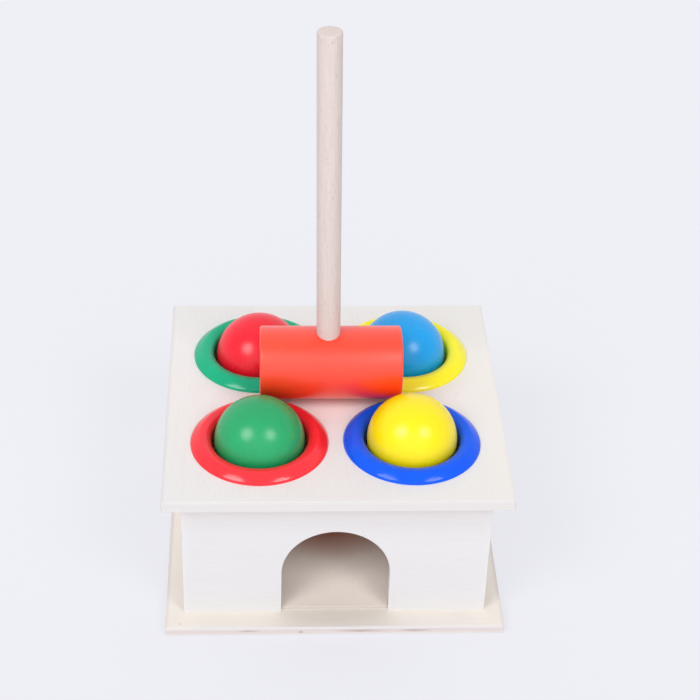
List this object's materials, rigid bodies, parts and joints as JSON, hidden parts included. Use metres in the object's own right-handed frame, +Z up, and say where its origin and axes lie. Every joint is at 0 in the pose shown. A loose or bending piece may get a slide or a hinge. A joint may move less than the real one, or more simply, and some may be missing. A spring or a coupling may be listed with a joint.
{
  "type": "ball pounding toy",
  "caption": "Plywood box toy with ringed holes in its top: balls are knocked through with a wooden mallet, roll down a ramp inside and leave through a front arch.",
  "frame": {"origin": "middle of the underside of the base plate, on the surface the toy stands on", "axes": "+Z up, +Y from the arched exit at the front to the back wall, +X to the right as seen from the front"},
  "size_m": [0.1254, 0.125, 0.2145],
  "materials": {
    "plywood": "pale sanded plywood, unvarnished, with its layers showing along the edges",
    "plain_wood": "pale pinkish hardwood, sanded, unvarnished",
    "orange_paint": "orange-red satin paint on wood",
    "green_paint": "green satin gloss paint on wood",
    "yellow_paint": "yellow satin gloss paint on wood",
    "red_paint": "red satin gloss paint on wood",
    "blue_paint": "sky blue satin gloss paint on wood",
    "red_plastic": "glossy moulded plastic",
    "blue_plastic": "glossy moulded plastic",
    "green_plastic": "glossy moulded plastic",
    "yellow_plastic": "glossy moulded plastic"
  },
  "bodies": {
    "box": {"base_plate": "plywood", "front_wall": "plywood", "back_wall": "plywood", "left_wall": "plywood", "right_wall": "plywood", "top_plate": "plywood", "ramp_board": "plywood", "ramp_rear_cleat": "plain_wood", "left_ball_guide": "plain_wood", "right_ball_guide": "plain_wood", "ring_front_left": "red_plastic", "ring_front_right": "blue_plastic", "ring_back_left": "green_plastic", "ring_back_right": "yellow_plastic"},
    "mallet": {"mallet_head": "orange_paint", "mallet_handle": "plain_wood"},
    "front_left_ball": {"ball_front_left": "green_paint"},
    "front_right_ball": {"ball_front_right": "yellow_paint"},
    "back_left_ball": {"ball_back_left": "red_paint"},
    "back_right_ball": {"ball_back_right": "blue_paint"}
  },
  "joints": [
    {"name": "mallet_lift", "type": "slide", "parent": "box", "child": "mallet", "axis": [0, 0, 1], "range_m": [0, 0.1]},
    {"name": "front_left_ball_drop", "type": "slide", "parent": "box", "child": "front_left_ball", "axis": [0, 0, 1], "range_m": [-0.0375, 0]},
    {"name": "front_right_ball_drop", "type": "slide", "parent": "box", "child": "front_right_ball", "axis": [0, 0, 1], "range_m": [-0.0382, 0]},
    {"name": "back_left_ball_drop", "type": "slide", "parent": "box", "child": "back_left_ball", "axis": [0, 0, 1], "range_m": [-0.0256, 0]},
    {"name": "back_right_ball_drop", "type": "slide", "parent": "box", "child": "back_right_ball", "axis": [0, 0, 1], "range_m": [-0.0265, 0]}
  ]
}
